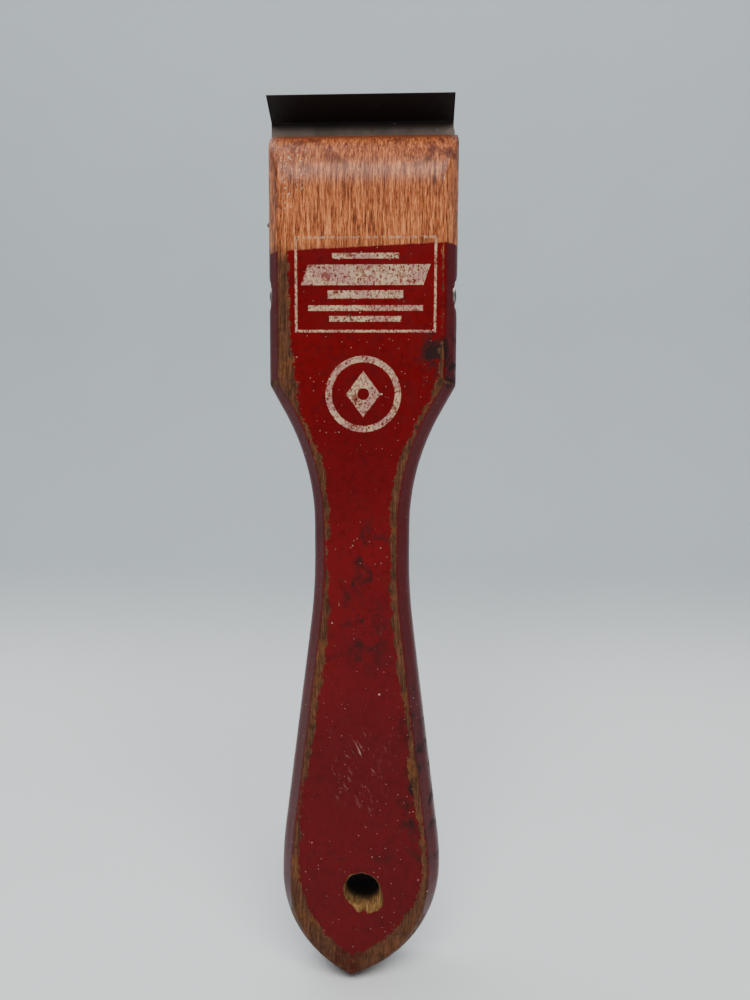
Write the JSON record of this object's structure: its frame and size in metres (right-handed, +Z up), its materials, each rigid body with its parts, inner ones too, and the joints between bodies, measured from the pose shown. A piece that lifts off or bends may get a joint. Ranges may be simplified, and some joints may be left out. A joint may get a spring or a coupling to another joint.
{
  "type": "hook wood scraper",
  "caption": "Wood-handled pull scraper with a replaceable two-edged hook blade held by a pivoting clamp cap and screw.",
  "frame": {"origin": "middle of the waist of the handle, at half its thickness, where a hand grips it", "axes": "+Z up the tool to the blade, the painted face and the hook look along -Y, the clamp is on the +Y side, +X to the right as seen from the painted face"},
  "size_m": [0.065, 0.0265, 0.3141],
  "materials": {
    "enamelled_wood": "worn gloss enamel, bare at the nose and edges",
    "blade_steel": "dark oil-blackened",
    "cap_steel": "worn, tarnished",
    "pin_steel": "peened, tarnished",
    "screw_steel": "dull",
    "brass": "turned"
  },
  "bodies": {
    "frame": {"handle": "enamelled_wood", "cross_pin": "pin_steel", "threaded_insert": "brass"},
    "blade": {"blade": "blade_steel"},
    "clamp": {"clamp_cap": "cap_steel"},
    "washer": {"screw_washer": "screw_steel"},
    "screw": {"clamp_screw": "screw_steel"}
  },
  "joints": [
    {"name": "screw_travel", "type": "slide", "parent": "frame", "child": "washer", "axis": [0, 1, 0], "range_m": [0, 0.00254]},
    {"name": "screw_turn", "type": "hinge", "parent": "washer", "child": "screw", "pos_m": [0, 0.01208, 0.098], "axis": [0, 1, 0], "range_deg": [0, 721]},
    {"name": "cap_tilt", "type": "hinge", "parent": "frame", "child": "clamp", "pos_m": [0, 0, 0.0855], "axis": [-1, 0, 0], "range_deg": [0, 7.25]},
    {"name": "blade_slide", "type": "slide", "parent": "frame", "child": "blade", "axis": [1, 0, 0], "range_m": [-0.066, 0.066]}
  ],
  "couplings": [
    {"joint": "screw_turn", "follows": "screw_travel", "rad_per_m": 4947.4},
    {"joint": "cap_tilt", "follows": "screw_travel", "rad_per_m": 49.47}
  ]
}
